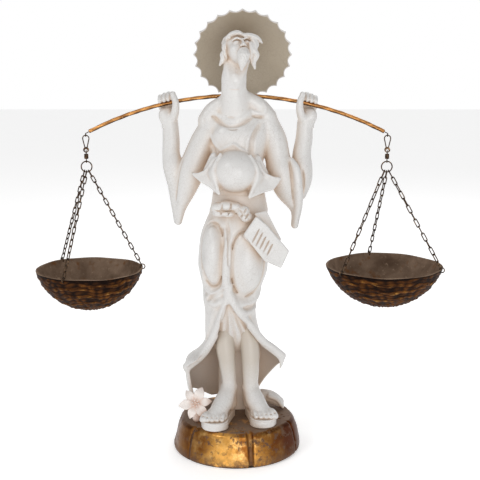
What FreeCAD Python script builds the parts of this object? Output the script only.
"""A shoulder-pole balance: a ceramic bearer on a gilded base carries a curved pole with two hanging pans.

Millimetres. +Z up, +X to the viewer's right, the figure faces -Y. The origin is the centre of the felt foot.
"""

import FreeCAD, Part
import Sketcher
import math
import os
import re

from FreeCAD import Matrix, Placement, Rotation, Vector

X_AXIS, Y_AXIS, Z_AXIS = Vector(1, 0, 0), Vector(0, 1, 0), Vector(0, 0, 1)

DIMENSIONS = [
    ("felt_thickness", 1.5, "felt disc under the base"),
    ("base_radius", 88, "foot of the gilded base"),
    ("base_top_radius", 77, "top of the gilded base"),
    ("base_top", 46, "height of the base's upper face"),
    ("base_rounding", 7, "rounding of the base's upper edge"),
    ("base_groove", 2.6, "radius of the grooves down the base"),
    ("base_foot", 4, "upright band at the foot of the base"),
    ("rod_room", 0.3, "tie rod in its bores, radial"),
    ("anchor_radius", 3, "tie rod through base and robe"),
    ("anchor_top", 112, "upper end of the tie rod"),
    ("anchor_back", 26, "tie rod behind the centre"),
    ("counterbore_radius", 12, "recess for washer and nut"),
    ("counterbore_depth", 14, "depth of that recess above the felt"),
    ("washer_radius", 10, "washer under the nut"),
    ("washer_thickness", 1.6, "washer under the nut"),
    ("nut_across_flats", 10, "hexagon nut"),
    ("nut_height", 5, "hexagon nut"),
    ("rod_tail", 2, "tie rod below the nut"),
    ("sandal_height", 11, "thickness of a sandal's platform"),
    ("skirt_roof", 200, "top of the hollow under the robe"),
    ("robe_wall", 6, "wall of the robe round that hollow"),
    ("chest_top", 472, "joint of torso and neck"),
    ("belly_radius", 27, "round belly"),
    ("elbow", 400, "joint of sleeve and forearm"),
    ("wrist", 448, "joint of forearm and hand"),
    ("hat_radius", 67, "rim of the straw hat"),
    ("hat_depth", 26, "depth of the hat's cone"),
    ("hat_wall", 4, "thickness of the hat"),
    ("hat_cusps", 24, "scallops round the hat's rim"),
    ("hat_scallop", 9.5, "radius of one scallop"),
    ("scallop_bite", 2.8, "depth of one scallop"),
    ("hat_lean", 64, "lean of the hat from level, degrees"),
    ("hat_side", 8, "hat's centre to the right of the middle"),
    ("hat_back", 45, "hat's centre behind the middle"),
    ("hat_height", 540, "height of the hat's centre"),
    ("pole_back", 22, "plane of the pole behind the centre"),
    ("pole_arc", 436, "radius of the pole's bow"),
    ("pole_arc_centre", 51, "height of the bow's centre"),
    ("pole_radius", 2.75, "pole's rod"),
    ("pole_reach", 199, "rod's end from the centre"),
    ("hang", 204, "hanging points from the centre"),
    ("hand_clearance", 0.4, "pole in the fists, radial"),
    ("eye_ring", 2.1, "centre line of the pole's wire eyes"),
    ("eye_wire", 0.6, "wire radius of those eyes"),
    ("running_gap", 0.3, "gap between linked wires"),
    ("snap_wire", 0.75, "wire radius of the snap"),
    ("snap_crown", 4.25, "centre line of the snap's crown"),
    ("snap_foot", 1.6, "centre line of the snap's foot"),
    ("snap_length", 17.6, "centre line length of the snap's loop"),
    ("clip_radius", 3.9, "sheet clip of the snap"),
    ("clip_thickness", 2.4, "sheet clip of the snap"),
    ("clip_window", 1.9, "window of the clip"),
    ("clip_drop", 20.6, "window's centre below the snap's crown"),
    ("barrel_radius", 2.9, "swivel barrel"),
    ("barrel_height", 7, "swivel barrel"),
    ("barrel_wall", 0.9, "swivel barrel"),
    ("barrel_rounding", 1, "swivel barrel"),
    ("upper_eye_ring", 2.35, "centre line of the swivel's upper eye"),
    ("upper_eye_wire", 0.5, "wire radius of that eye"),
    ("lower_eye_ring", 1.95, "centre line of the swivel's lower eye"),
    ("lower_eye_wire", 0.55, "wire radius of that eye"),
    ("stem_radius", 0.6, "stem of the swivel's lower eye"),
    ("stem_clearance", 0.08, "stem in the barrel, radial"),
    ("ring_radius", 7.25, "centre line of the split ring"),
    ("ring_wire", 0.85, "wire radius of the split ring"),
    ("chain_wire", 0.75, "wire radius of a chain link"),
    ("chain_bend", 2.0, "centre line radius of a link's ends"),
    ("chain_gap", 0.12, "gap between two links"),
    ("left_pan_radius", 75, "rim of the left pan"),
    ("right_pan_radius", 82, "rim of the right pan"),
    ("left_pan_rim", 249.5, "height of the left pan's rim"),
    ("right_pan_rim", 254, "height of the right pan's rim"),
    ("pan_depth", 58, "depth of a pan"),
    ("pan_wall", 2.4, "wall of a pan"),
    ("left_links", 17, "links of one chain, left"),
    ("right_links", 14, "links of one chain, right"),
    ("shackle_radius", 3.4, "centre line of a rim shackle"),
    ("shackle_hole", 1.6, "holes under a pan's rim"),
    ("shackle_inset", 1.6, "shackle's centre inside the rim"),
]

doc = FreeCAD.newDocument("pole_balance")
sheet = doc.addObject("Spreadsheet::Sheet", "Dimensions")
for row, (alias, number, meaning) in enumerate(DIMENSIONS, 1):
    sheet.set(f"A{row}", meaning)
    sheet.set(f"B{row}", str(number))
    sheet.setAlias(f"B{row}", alias)
doc.recompute()
ALIASES = {alias for alias, _, _ in DIMENSIONS}


def bound(text):
    """The expression text with each alias pointing at the sheet."""
    return re.sub(r"[a-z_]+", lambda m: f"Dimensions.{m[0]}" if m[0] in ALIASES else m[0], str(text))


def dim(text):
    """The number that an expression of aliases gives."""
    return float(sheet.evalExpression(bound(text)))


def place(item, at=(0, 0, 0), turn=None):
    """Puts item at an expression for each coordinate, turned by a Rotation."""
    item.Placement = Placement(Vector(), turn or Rotation())
    for axis, text in zip("xyz", at):
        item.setExpression(f"Placement.Base.{axis}", bound(text))
    return item


def primitive(kind, label, at=None, turn=None, **sizes):
    """A Part primitive whose sizes, and its place if given, are expressions of aliases."""
    item = doc.addObject(f"Part::{kind}", label)
    for name, text in sizes.items():
        item.setExpression(name, bound(text))
    return place(item, at, turn) if at else item


def joined(label, items):
    """One solid of several overlapping objects."""
    item = doc.addObject("Part::MultiFuse", label)
    item.Shapes = items
    return item


def without(label, base, tool):
    """The base with the tool's volume taken away."""
    item = doc.addObject("Part::Cut", label)
    item.Base, item.Tool = base, tool
    return item


def solid(label, shape, placement=None):
    """An object that holds a shape worked out from the sheet."""
    item = doc.addObject("Part::Feature", label)
    item.Shape = shape
    item.Placement = placement or Placement()
    return item


def ellipse(centre, rx, ry):
    """A level ellipse, as a wire through evenly turned points."""
    x, y, z = centre
    count = 12
    turns = [2 * math.pi * index / count for index in range(count)]
    curve = Part.BSplineCurve()
    points = [Vector(x + rx * math.cos(a), y + ry * math.sin(a), z) for a in turns]
    curve.interpolate(points, PeriodicFlag=True)
    return Part.Wire(curve.toShape())


def stack(sections):
    """A solid through level ellipses, each (x, y, z, rx, ry), from the lowest to the highest."""
    return Part.makeLoft([ellipse(s[:3], s[3], s[4]) for s in sections], True, True)


def egg(centre, radii):
    """An ellipsoid of level ellipses, with small flats at its poles."""
    (x, y, z), (rx, ry, rz) = centre, radii
    tilts = [math.radians(degrees) for degrees in (-76, -50, -25, 0, 25, 50, 76)]
    return stack([(x, y, z + rz * math.sin(a), rx * math.cos(a), ry * math.cos(a)) for a in tilts])


def slab(corners, plane, thickness):
    """A plate in the XZ plane: corners (x, z), from y = plane back by its thickness."""
    outline = Part.makePolygon([Vector(x, plane, z) for x, z in [*corners, corners[0]]])
    return Part.Face(outline).extrude(Vector(0, thickness, 0))


def belt(upper, lower, span):
    """The closed line round two circles in the XZ plane: one at the origin, one span below it."""
    lean = math.asin((upper - lower) / span)
    normal = Vector(math.cos(lean), 0, -math.sin(lean))
    mirrored = Vector(-normal.x, 0, normal.z)
    foot = Vector(0, 0, -span)
    over = Part.Arc(normal * upper, Vector(0, 0, upper), mirrored * upper)
    under = Part.Arc(foot + mirrored * lower, foot + Vector(0, 0, -lower), foot + normal * lower)
    sides = [
        Part.LineSegment(mirrored * upper, foot + mirrored * lower),
        Part.LineSegment(foot + normal * lower, normal * upper),
    ]
    return Part.Wire([over.toShape(), sides[0].toShape(), under.toShape(), sides[1].toShape()])


def wire_loop(path, radius):
    """A round wire bent along a closed line."""
    start = path.Edges[0].firstVertex().Point
    tangent = path.Edges[0].tangentAt(path.Edges[0].FirstParameter)
    section = Part.Wire(Part.Circle(start, tangent, radius).toShape())
    pipe = path.makePipeShell([section], True, True)
    return pipe if pipe.Volume > 0 else pipe.reversed()


def outline_sketch(body, name, points):
    """A closed outline of lines in the body's XZ plane, each corner held by two expressions."""
    sketch = body.newObject("Sketcher::SketchObject", name)
    plane = next(item for item in body.Origin.OriginFeatures if item.Role == "XZ_Plane")
    sketch.AttachmentSupport = [(plane, "")]
    sketch.MapMode = "FlatFace"
    corners = [Vector(dim(across), dim(up), 0) for across, up in points]
    for start, end in zip(corners, corners[1:] + corners[:1]):
        sketch.addGeometry(Part.LineSegment(start, end))
    for index, (across, up) in enumerate(points):
        sketch.addConstraint(Sketcher.Constraint("Coincident", index, 2, (index + 1) % len(points), 1))
        if corners[index].x == 0:
            sketch.addConstraint(Sketcher.Constraint("PointOnObject", index, 1, -2))
        else:
            held = sketch.addConstraint(Sketcher.Constraint("DistanceX", -1, 1, index, 1, corners[index].x))
            sketch.setExpression(f"Constraints[{held}]", bound(across))
        if corners[index].y == 0:
            sketch.addConstraint(Sketcher.Constraint("PointOnObject", index, 1, -1))
        else:
            held = sketch.addConstraint(Sketcher.Constraint("DistanceY", -1, 1, index, 1, corners[index].y))
            sketch.setExpression(f"Constraints[{held}]", bound(up))
    return sketch


def turned(label, points, at=(0, 0, 0), turn=None):
    """A body turned about its Z axis from an outline of (radius, height) expressions."""
    body = doc.addObject("PartDesign::Body", label)
    sketch = outline_sketch(body, f"{label}_outline", points)
    spin = body.newObject("PartDesign::Revolution", f"{label}_spin")
    spin.Profile = sketch
    spin.ReferenceAxis = (sketch, ["V_Axis"])
    spin.Angle = 360
    sketch.Visibility = False
    return place(body, at, turn)


nodes = {}

GROOVE_BEARINGS = (283, 222, 110, 20)


def node(label, item):
    """Names a finished piece, which is written to a file of that name."""
    item.Label = label
    nodes[label] = item
    return item


# ---------------------------------------------------------------- base and hidden tie rod
def make_base():
    block = turned(
        "base_turning",
        [
            ("0", "felt_thickness"),
            ("base_radius", "felt_thickness"),
            ("base_radius", "felt_thickness + base_foot"),
            ("base_radius - 5", "base_top * 0.62"),
            ("base_top_radius", "base_top"),
            ("0", "base_top"),
        ],
    )
    doc.recompute()
    turning = block.Tip
    rim = [
        f"Edge{index}"
        for index, edge in enumerate(turning.Shape.Edges, 1)
        if edge.Closed and abs(edge.BoundBox.ZMin - dim("base_top")) < 0.01
    ]
    round_edge = block.newObject("PartDesign::Fillet", "base_edge_round")
    round_edge.Base = (turning, rim)
    round_edge.setExpression("Radius", bound("base_rounding"))
    block.Tip = round_edge
    cuts = [
        primitive(
            "Cylinder",
            "anchor_bore",
            ("0", "anchor_back", "0"),
            Radius="anchor_radius + rod_room",
            Height="base_top * 2",
        ),
        primitive(
            "Cylinder",
            "anchor_counterbore",
            ("0", "anchor_back", "0"),
            Radius="counterbore_radius",
            Height="felt_thickness + counterbore_depth",
        ),
    ]
    for index, bearing in enumerate(GROOVE_BEARINGS):
        away = (f"base_radius * cos({bearing})", f"base_radius * sin({bearing})", "0")
        cuts.append(
            primitive("Cylinder", f"groove_{index + 1}", away, Radius="base_groove", Height="base_top")
        )
    node("base_block", without("base_block_cut", block, joined("base_cuts", cuts)))

    disc = primitive("Cylinder", "felt_disc", Radius="base_radius - 3", Height="felt_thickness")
    hole = primitive(
        "Cylinder",
        "felt_hole",
        ("0", "anchor_back", "0"),
        Radius="counterbore_radius + 1",
        Height="felt_thickness",
    )
    node("felt_pad", without("felt_cut", disc, hole))

    seat = "(felt_thickness + counterbore_depth)"
    rod = primitive(
        "Cylinder",
        "rod_shaft",
        ("0", "anchor_back", f"{seat} - washer_thickness - nut_height - rod_tail"),
        Radius="anchor_radius",
        Height=f"anchor_top - {seat} + washer_thickness + nut_height + rod_tail",
    )
    node("anchor_rod", rod)
    ring = primitive(
        "Cylinder",
        "washer_disc",
        ("0", "anchor_back", f"{seat} - washer_thickness"),
        Radius="washer_radius",
        Height="washer_thickness",
    )
    ring_hole = primitive(
        "Cylinder",
        "washer_hole",
        ("0", "anchor_back", f"{seat} - washer_thickness"),
        Radius="anchor_radius + rod_room",
        Height="washer_thickness",
    )
    node("anchor_washer", without("washer_cut", ring, ring_hole))
    prism = primitive(
        "Prism",
        "nut_prism",
        ("0", "anchor_back", f"{seat} - washer_thickness - nut_height"),
        Circumradius="nut_across_flats / sqrt(3)",
        Height="nut_height",
    )
    prism.Polygon = 6
    thread = primitive(
        "Cylinder",
        "nut_thread",
        ("0", "anchor_back", f"{seat} - washer_thickness - nut_height"),
        Radius="anchor_radius + 0.05",
        Height="nut_height",
    )
    node("anchor_nut", without("nut_cut", prism, thread))


# ---------------------------------------------------------------- ceramic figure
# Each stack is a list of level ellipses: x, y, z, half width, half depth.
LEGS = {
    # shin sections above the sandal (height 0 stands for the skirt's roof), then heel and toe of the
    # sandal (x, y) with their radii
    "left": {
        "shin": [
            (-15, -20, 80, 10, 13),
            (-15, -20, 94, 9.5, 11),
            (-15, -14, 150, 14, 14),
            (-14, -6, 0, 13, 13),
        ],
        "heel": (-12, -8, 11),
        "toe": (-31, -54, 16),
    },
    "right": {
        "shin": [
            (21, -18, 80, 10, 13),
            (21, -18, 94, 9.5, 11),
            (15, -8, 150, 11, 12),
            (12, -4, 0, 10.5, 11),
        ],
        "heel": (20, -4, 11),
        "toe": (36, -40, 15),
    },
}
ROBE = [
    (-3, 8, 96, 57, 48),
    (-2, 6, 120, 69, 52),
    (-4, 5, 150, 46, 43),
    (-6, 3, 184, 40, 37),
    (-5, 2, 210, 41, 38),
    (-4, 2, 252, 47, 40),
    (-2, 3, 294, 45, 38),
    (1, 5, 326, 39, 33),
]
WAIST = (2, 5, 350, 35, 29)
CHEST = [
    (0, 2, 375, 36, 32),
    (0, 4, 400, 38, 31),
    (3, 8, 430, 45, 29),
    (5, 11, 452, 46, 23),
    (4, 12, 463, 37, 18),
]
SLEEVES = {
    "left": {
        "upper": [(-84, 8, 388, 15, 15), (-62, 10, 420, 17, 17), (-40, 12, 456, 12, 14)],
        "drape": [(-81, 4, 316, 4, 4), (-80, 5, 345, 12, 11), (-81, 7, 372, 19, 16)],
        "crook": (-85, 9, 19, 16),
        "forearm": [(-90, 16, 424, 12.5, 12)],
        "wrist": (-90, 20, 10.5, 9),
        "palm": (-92, 20, 468, 13, 9),
        "fist": (-93, 22, 481, 13, 13, 13),
        "thumb": (-81, 14, 478, 4.5, 6, 12),
    },
    "right": {
        "upper": [(90, 8, 386, 15, 15), (68, 10, 420, 17, 17), (49, 12, 456, 12, 14)],
        "drape": [(79, 4, 309, 4, 4), (82, 5, 340, 12, 11), (86, 7, 370, 18, 16)],
        "crook": (89, 9, 18, 16),
        "forearm": [(92, 16, 424, 12.5, 12)],
        "wrist": (92, 20, 10.5, 9),
        "palm": (94, 20, 470, 13, 9),
        "fist": (97, 22, 483, 13, 13, 13),
        "thumb": (84, 14, 480, 4.5, 6, 12),
    },
}
JACKET_TIPS = {
    "left": [(-25, 412), (-57, 388), (-23, 365)],
    "right": [(22, 412), (57, 381), (16, 360)],
}
SASH_LOBES = [(-24, -27, 343, 11, 9, 7), (-9, -31, 345, 12, 9, 7), (11, -31, 338, 11, 9, 10)]
SASH_END = [(11, 311), (35, 323), (67, 285), (56, 266), (36, 277)]
LILY_CENTRE = Vector(-56, -38, 73)


def make_legs():
    floor = dim("base_top")
    tread = floor + dim("sandal_height")
    for side, leg in LEGS.items():
        (hx, hy, hr), (tx, ty, tr) = leg["heel"], leg["toe"]
        heel, toe = Vector(hx, hy, floor), Vector(tx, ty, floor)
        along = (toe - heel).normalize()
        across = Vector(-along.y, along.x, 0)
        outline = [
            Part.Arc(heel + across * hr, heel - along * hr, heel - across * hr).toShape(),
            Part.LineSegment(heel - across * hr, toe - across * tr).toShape(),
            Part.Arc(toe - across * tr, toe + along * tr, toe + across * tr).toShape(),
            Part.LineSegment(toe + across * tr, heel + across * hr).toShape(),
        ]
        sole = Part.Face(Part.Wire(outline)).extrude(Vector(0, 0, dim("sandal_height")))
        node(f"{side}_sandal", solid(f"{side}_sandal_sole", sole))

        shin = [s if s[2] else (*s[:2], dim("skirt_roof"), *s[3:]) for s in leg["shin"]]
        heel_section = (hx, hy - 6, tread, hr - 1, hr + 4)
        ankle = stack([heel_section, *shin])
        instep = egg((tx * 0.55 + hx * 0.45, ty * 0.55 + hy * 0.45, tread), (tr * 0.8, 26, 19))
        toes = egg((tx, ty + 2, tread), (tr - 2, 13, 9))
        above = Part.makeBox(200, 200, dim("skirt_roof") - tread, Vector(-100, -120, tread))
        foot = ankle.fuse([instep.common(above), toes.common(above)]).removeSplitter()
        node(f"{side}_leg", solid(f"{side}_leg_shape", foot))


def make_robe():
    """The long robe: a flaring shell, open in front below the knees, with a back drape down to the base."""
    outer = stack([*ROBE, WAIST])
    roof, wall = dim("skirt_roof"), dim("robe_wall")
    inner = [(x, y, z, rx - wall, ry - wall) for x, y, z, rx, ry in ROBE if z < roof]
    hollow = stack([*inner, (-5, 2, roof, 33, 30)])
    front = slab([(1, 208), (-38, 60), (50, 60)], -80, 62)
    drape = stack([(0, 26, dim("base_top"), 26, 12), (0, 26, 100, 26, 14), (0, 25, 160, 24, 13)])
    rod_bore = Part.makeCylinder(
        dim("anchor_radius + rod_room"), dim("anchor_top + 6"), Vector(0, dim("anchor_back"), 0)
    )
    shell = outer.cut(hollow).cut(front).fuse(drape).cut(rod_bore)
    node("robe_skirt", solid("robe_shape", shell))


def make_torso():
    """Chest, open jacket and belly, down to the waist joint."""
    chest = stack([WAIST, *CHEST, (0, 8, dim("chest_top"), 22, 16)])
    belly = Part.makeSphere(dim("belly_radius"), Vector(-2, -22, 391))
    shape = chest.fuse(belly)
    for corners in JACKET_TIPS.values():
        shape = shape.fuse(slab(corners, -31, 14))
    node("torso", solid("torso_shape", shape.removeSplitter()))


def make_arm(side, arm, bore):
    """Sleeve with its hanging point, forearm, and a fist that the pole slides through."""
    elbow, wrist = dim("elbow"), dim("wrist")
    cx, cy, crx, cry = arm["crook"]
    drape = stack([*arm["drape"], (cx, cy, elbow, crx, cry)])
    upper = stack(arm["upper"])
    inward = -150 if side == "left" else 0
    shoulder_room = Part.makeBox(150, 200, 300, Vector(inward, -100, 200))
    forearm_room = stack([(cx, cy, elbow, crx, cry), (cx, cy, wrist, 16, 16)])
    sleeve = upper.fuse(drape).cut([nodes["torso"].Shape, forearm_room]).common(shoulder_room)
    sleeve = max(sleeve.Solids, key=lambda piece: piece.Volume)
    node(f"{side}_sleeve", solid(f"{side}_sleeve_shape", sleeve.removeSplitter()))

    wx, wy, wrx, wry = arm["wrist"]
    forearm = stack([(cx, cy, elbow, crx - 3, cry - 2), *arm["forearm"], (wx, wy, wrist, wrx, wry)])
    node(f"{side}_forearm", solid(f"{side}_forearm_shape", forearm))

    palm = stack([(wx, wy, wrist, wrx, wry), arm["palm"]])
    fist = egg(arm["fist"][:3], arm["fist"][3:])
    thumb = egg(arm["thumb"][:3], arm["thumb"][3:])
    hand = palm.fuse([fist, thumb]).removeSplitter()
    closed = solid(f"{side}_hand_shape", hand)
    node(f"{side}_hand", without(f"{side}_hand_cut", closed, bore))


def make_head():
    """Neck, tilted head and the scalloped hat behind it."""
    neck = stack([(-2, -2, dim("chest_top"), 17, 15), (-3, -3, 502, 16.5, 15), (0, -3, 530, 17, 16)])
    node("neck", solid("neck_shape", neck))

    lean = Rotation(X_AXIS, -dim("hat_lean"))
    middle = ("hat_side", "hat_back", "hat_height")
    hat_spot = Placement(Vector(*[dim(text) for text in middle]), lean)
    rim, depth, wall = "hat_radius", "hat_depth", "hat_wall"
    cone = turned(
        "hat_cone",
        [
            ("0", depth),
            ("0", f"{depth} - {wall}"),
            (f"{rim} * 0.55", f"{depth} * 0.62 - {wall}"),
            (rim, "0"),
            (rim, wall),
            (f"{rim} * 0.55", f"{depth} * 0.62"),
        ],
        middle,
        lean,
    )
    scallops = []
    for index in range(int(dim("hat_cusps"))):
        bearing = 360 / dim("hat_cusps") * index
        cutter = primitive("Cylinder", f"scallop_{index + 1}", Radius="hat_scallop", Height="hat_wall * 3")
        away = Vector(dim("hat_radius + hat_scallop - scallop_bite"), 0, -dim("hat_wall"))
        spot = hat_spot * Placement(Vector(), Rotation(Z_AXIS, bearing))
        cutter.Placement = spot * Placement(away, Rotation())
        scallops.append(cutter)
    node("hat", without("hat_cut", cone, joined("hat_scallops", scallops)))

    doc.recompute()
    skull = egg((6, 8, 549), (22, 27, 25))
    nape = egg((7, 36, 546), (17, 22, 17))
    beard = stack([(5, -22, 521, 2, 2), (5, -18, 530, 8, 8), (6, -8, 540, 14, 12)])
    lock = stack([(26, -10, 524, 2, 2), (27, -6, 540, 6, 6), (24, 2, 558, 6, 8)])
    head = skull.fuse([beard, lock, nape]).cut([nodes["neck"].Shape, nodes["hat"].Shape])
    head = max(head.Solids, key=lambda piece: piece.Volume)
    node("head", solid("head_shape", head.removeSplitter()))


def make_dress_and_ground():
    """Sash, lily and the stump behind the right foot."""
    robe, torso = nodes["robe_skirt"].Shape, nodes["torso"].Shape
    lobes = [egg(lobe[:3], lobe[3:]) for lobe in SASH_LOBES]
    knot = lobes[0].fuse(lobes[1:]).cut([robe, torso])
    node("sash_knot", solid("sash_knot_shape", max(knot.Solids, key=lambda piece: piece.Volume)))

    fringe = slab(SASH_END, -44, 26).cut([robe, nodes["sash_knot"].Shape])
    node("sash_end", solid("sash_end_shape", max(fringe.Solids, key=lambda piece: piece.Volume)))

    petal_count = 6
    petals = []
    for index in range(petal_count):
        petal = egg((12, 0, 0), (11, 2.2, 5))
        petal.rotate(Vector(), Y_AXIS, 360 / petal_count * index + 15)
        petal.translate(LILY_CENTRE)
        petals.append(petal)
    heart = Part.makeSphere(5, LILY_CENTRE)
    stalk_foot = Vector(LILY_CENTRE.x, LILY_CENTRE.y + 8, dim("base_top"))
    stalk = Part.makeCone(7, 4, LILY_CENTRE.z - stalk_foot.z, stalk_foot)
    lily = heart.fuse([*petals, stalk]).removeSplitter()
    node("lily", solid("lily_shape", lily))

    stump = stack([(50, 26, dim("base_top"), 20, 12), (50, 26, 57, 17, 11), (47, 26, 68, 8, 7)])
    node("root_stump", solid("root_stump_shape", stump))


# ---------------------------------------------------------------- pole
def bow(label, radius, reach):
    """A rod bent to the pole's bow, from -X to +X."""
    half = f"asin(({reach}) / pole_arc)"
    rod = primitive("Torus", label, Radius1="pole_arc", Radius2=radius, Angle3=f"2 * {half}")
    start = 90 - math.degrees(math.asin(dim(reach) / dim("pole_arc")))
    spin = Rotation(X_AXIS, 90) * Rotation(Z_AXIS, start)
    return place(rod, ("0", "pole_back", "pole_arc_centre"), spin)


def make_pole():
    node("pole_rod", bow("pole_bow", "pole_radius", "pole_reach"))
    lean = math.asin(dim("pole_reach / pole_arc"))
    end_height = dim("pole_arc_centre") + dim("pole_arc") * math.cos(lean)
    for side, sign in (("left", -1), ("right", 1)):
        end = Vector(sign * dim("pole_reach"), dim("pole_back"), end_height)
        along = Vector(sign * math.cos(lean), 0, -math.sin(lean))
        crest = end + along * (dim("hang - pole_reach") / math.cos(lean))
        centre = crest - Vector(0, 0, dim("eye_ring"))
        eye = Part.makeTorus(dim("eye_ring"), dim("eye_wire"), centre, X_AXIS)
        stem = Part.makeCylinder(dim("eye_wire"), (crest - end).Length, end, along)
        node(f"{side}_pole_eye", solid(f"{side}_pole_eye_shape", eye.fuse(stem).removeSplitter()))
    return centre.z


# ---------------------------------------------------------------- snap swivels, chains and pans
def make_snap(side, x, eye_height):
    """The bent wire snap on the pole's eye and its sheet clip. Returns the height of the clip's bar."""
    crown = eye_height - dim("eye_ring - eye_wire") + dim("snap_wire + running_gap")
    spot = Placement(Vector(x, dim("pole_back"), crown), Rotation())
    line = belt(dim("snap_crown"), dim("snap_foot"), dim("snap_length - snap_crown - snap_foot"))
    drop = Placement(Vector(0, 0, -dim("snap_crown")), Rotation())
    loop = wire_loop(line, dim("snap_wire"))
    node(f"{side}_snap_wire", solid(f"{side}_snap_loop", loop, spot * drop))

    thick = dim("clip_thickness")
    window = Vector(0, -thick / 2, -dim("clip_drop"))
    plate = Part.makeCylinder(dim("clip_radius"), thick, window + Vector(0, 0, 1), Y_AXIS)
    hole = Part.makeCylinder(dim("clip_window"), thick, window, Y_AXIS)
    groove = wire_loop(line, dim("snap_wire + 0.1"))
    groove.Placement = drop
    clip = plate.cut([hole, groove])
    clip = max(clip.Solids, key=lambda piece: piece.Volume)
    node(f"{side}_snap_clip", solid(f"{side}_snap_clip_shape", clip, spot))
    plate_foot = crown - dim("clip_drop") + 1 - dim("clip_radius")
    window_foot = crown - dim("clip_drop") - dim("clip_window")
    return (plate_foot + window_foot) / 2


def make_swivel(side, x, bar):
    """The swivel's barrel, hung on the clip's bar, and its free lower eye. Returns the split ring's top."""
    back = dim("pole_back")
    top = Part.makeTorus(dim("upper_eye_ring"), dim("upper_eye_wire"), Vector(x, back, bar), X_AXIS)
    height, radius, wall = dim("barrel_height"), dim("barrel_radius"), dim("barrel_wall")
    roof = bar - dim("upper_eye_ring") + 0.3
    floor = roof - height
    outside = Part.makeCylinder(radius, height, Vector(x, back, floor))
    rounded = outside.makeFillet(dim("barrel_rounding"), [edge for edge in outside.Edges if edge.Closed])
    chamber = Part.makeCylinder(radius - wall, height - 3, Vector(x, back, floor + wall))
    stem_hole = Part.makeCylinder(dim("stem_radius + stem_clearance"), wall * 2, Vector(x, back, floor - 0.1))
    barrel = rounded.cut([chamber, stem_hole]).fuse(top).removeSplitter()
    node(f"{side}_swivel_barrel", solid(f"{side}_barrel_shape", barrel))

    eye_ring, eye_wire = dim("lower_eye_ring"), dim("lower_eye_wire")
    eye_centre = floor - 0.6 - eye_ring - eye_wire
    eye = Part.makeTorus(eye_ring, eye_wire, Vector(x, back, eye_centre), X_AXIS)
    stem_foot = eye_centre + eye_ring
    stem = Part.makeCylinder(dim("stem_radius"), floor + wall + 1.2 - stem_foot, Vector(x, back, stem_foot))
    head_disc = Part.makeCylinder(radius - wall - 0.4, 1.0, Vector(x, back, floor + wall + 0.2))
    node(f"{side}_swivel_eye", solid(f"{side}_eye_shape", eye.fuse([stem, head_disc]).removeSplitter()))
    return eye_centre - (eye_ring - eye_wire) + dim("ring_wire + running_gap")


def make_ring(side, x, ring_top):
    """The split ring under the swivel, in the XZ plane. Returns its centre's height."""
    centre = ring_top - dim("ring_radius")
    ring = primitive("Torus", f"{side}_ring_torus", Radius1="ring_radius", Radius2="ring_wire")
    ring.Placement = Placement(Vector(x, dim("pole_back"), centre), Rotation(X_AXIS, 90))
    node(f"{side}_ring", ring)
    return centre


PANS = {
    "left": {"bearings": (10, 130, 250), "ring_spots": (27, -27, -3), "roll": 0},
    "right": {"bearings": (98, 218, 338), "ring_spots": (0, -27, 27), "roll": 45},
}


def chain(start, end, links, first_side, last_side, roll):
    """A taut chain of separate links. The first and last links lie flat to the given side vectors."""
    bend, wire = dim("chain_bend"), dim("chain_wire")
    overlap = 2 * bend - 2 * wire - dim("chain_gap")
    distance = (end - start).Length
    span = (distance - (links - 1) * overlap) / links
    pitch = span + overlap
    link = wire_loop(belt(bend, bend, span), wire)
    down = (end - start).normalize()

    def flat(side):
        level = side - down * side.dot(down)
        return level.normalize()

    side = flat(first_side)
    other = down.cross(side)
    goal = flat(last_side)
    turn = math.degrees(math.atan2(goal.dot(other), goal.dot(side)))
    half_turns = 90 * (links - 1)
    twist = (turn - half_turns + 90) % 180 - 90
    pieces = []
    for index in range(links):
        share = index / (links - 1)
        settled = min(1, index / 2, (links - 1 - index) / 2)
        angle = math.radians(90 * index + twist * share + roll * settled)
        width = side * math.cos(angle) + other * math.sin(angle)
        face = width.cross(down * -1)
        origin = start + down * (pitch * index)
        frame = Matrix(
            width.x, -face.x, -down.x, origin.x,
            width.y, -face.y, -down.y, origin.y,
            width.z, -face.z, -down.z, origin.z,
            0, 0, 0, 1,
        )
        piece = link.copy()
        piece.Placement = Placement(frame)
        pieces.append(piece)
    return Part.makeCompound(pieces)


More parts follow.
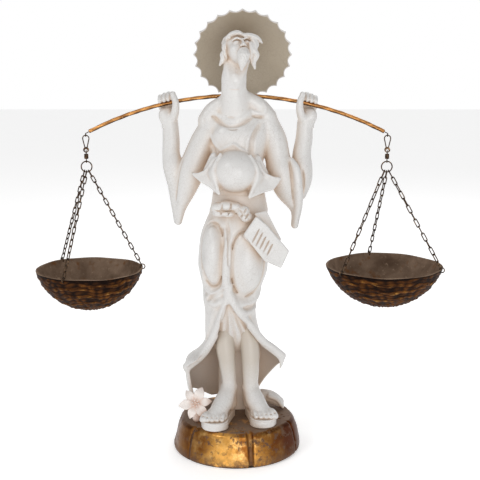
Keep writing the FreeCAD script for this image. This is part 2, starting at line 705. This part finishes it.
def make_pan(side, x, ring_centre):
    """A bowl on three chains, each with a shackle through a hole under the rim."""
    rim, depth, wall = f"{side}_pan_radius", "pan_depth", "pan_wall"
    rim_height = f"{side}_pan_rim"
    bowl_radius = f"({rim} ^ 2 + {depth} ^ 2) / (2 * {depth})"
    centre = (str(x), "pole_back", f"{rim_height} - {depth} + {bowl_radius}")
    lift = f"({bowl_radius} - {depth})"
    outside = primitive(
        "Sphere",
        f"{side}_pan_outside",
        centre,
        Radius=bowl_radius,
        Angle1="-90",
        Angle2=f"-asin({lift} / ({bowl_radius}))",
    )
    inside = primitive("Sphere", f"{side}_pan_inside", centre, Radius=f"{bowl_radius} - {wall}")
    spec = PANS[side]
    height = dim(rim_height)
    hub = Vector(x, dim("pole_back"), height)
    drill, shackles = [], []
    links = int(dim(f"{side}_links"))
    for index, (bearing, spot) in enumerate(zip(spec["bearings"], spec["ring_spots"])):
        out = Vector(math.cos(math.radians(bearing)), math.sin(math.radians(bearing)), 0)
        along_rim = Vector(-out.y, out.x, 0)
        shackle_centre = hub + out * (dim(rim) - dim("shackle_inset")) + Vector(0, 0, -0.2)
        hole_height = shackle_centre.z - dim("shackle_radius")
        hole = primitive("Cylinder", f"{side}_hole_{index + 1}", Radius="shackle_hole", Height="24")
        mouth = hub + out * (dim(rim) - 14) + Vector(0, 0, hole_height - height)
        hole.Placement = Placement(mouth, Rotation(Z_AXIS, out))
        drill.append(hole)
        shackles.append(Part.makeTorus(dim("shackle_radius"), dim("chain_wire"), shackle_centre, along_rim))
        hang = math.radians(spot)
        on_ring = Vector(math.sin(hang), 0, -math.cos(hang)) * dim("ring_radius")
        start = Vector(x, dim("pole_back"), ring_centre) + on_ring
        end = shackle_centre + (start - shackle_centre).normalize() * dim("shackle_radius")
        links_shape = chain(start, end, links, Y_AXIS, along_rim, spec["roll"])
        node(f"{side}_chain_{index + 1}", solid(f"{side}_chain_{index + 1}_links", links_shape))
    node(f"{side}_pan_shackles", solid(f"{side}_shackle_rings", Part.makeCompound(shackles)))
    drilled = joined(f"{side}_pan_cuts", [inside, *drill])
    node(f"{side}_pan", without(f"{side}_pan_cut", outside, drilled))


def make_hanging():
    eye_height = make_pole()
    for side, sign in (("left", -1), ("right", 1)):
        x = sign * dim("hang")
        bar = make_snap(side, x, eye_height)
        ring_top = make_swivel(side, x, bar)
        ring_centre = make_ring(side, x, ring_top)
        make_pan(side, x, ring_centre)


def make_arms():
    bore = bow("fist_bore", "pole_radius + hand_clearance", "pole_reach")
    for side, arm in SLEEVES.items():
        make_arm(side, arm, bore)


def write_parts():
    doc.recompute()
    for item in doc.Objects:
        if {"Invalid", "Error"} & set(item.State):
            raise SystemExit(f"{item.Label} failed: {item.State}")
    for label, item in nodes.items():
        if item.Shape.isNull() or not item.Shape.isValid():
            raise SystemExit(f"{label} has no valid shape")
    os.makedirs("parts", exist_ok=True)
    for label, item in nodes.items():
        item.Shape.exportStep(f"parts/{label}.step")


make_base()
make_legs()
doc.recompute()
make_robe()
make_torso()
make_arms()
make_head()
make_dress_and_ground()
make_hanging()
write_parts()
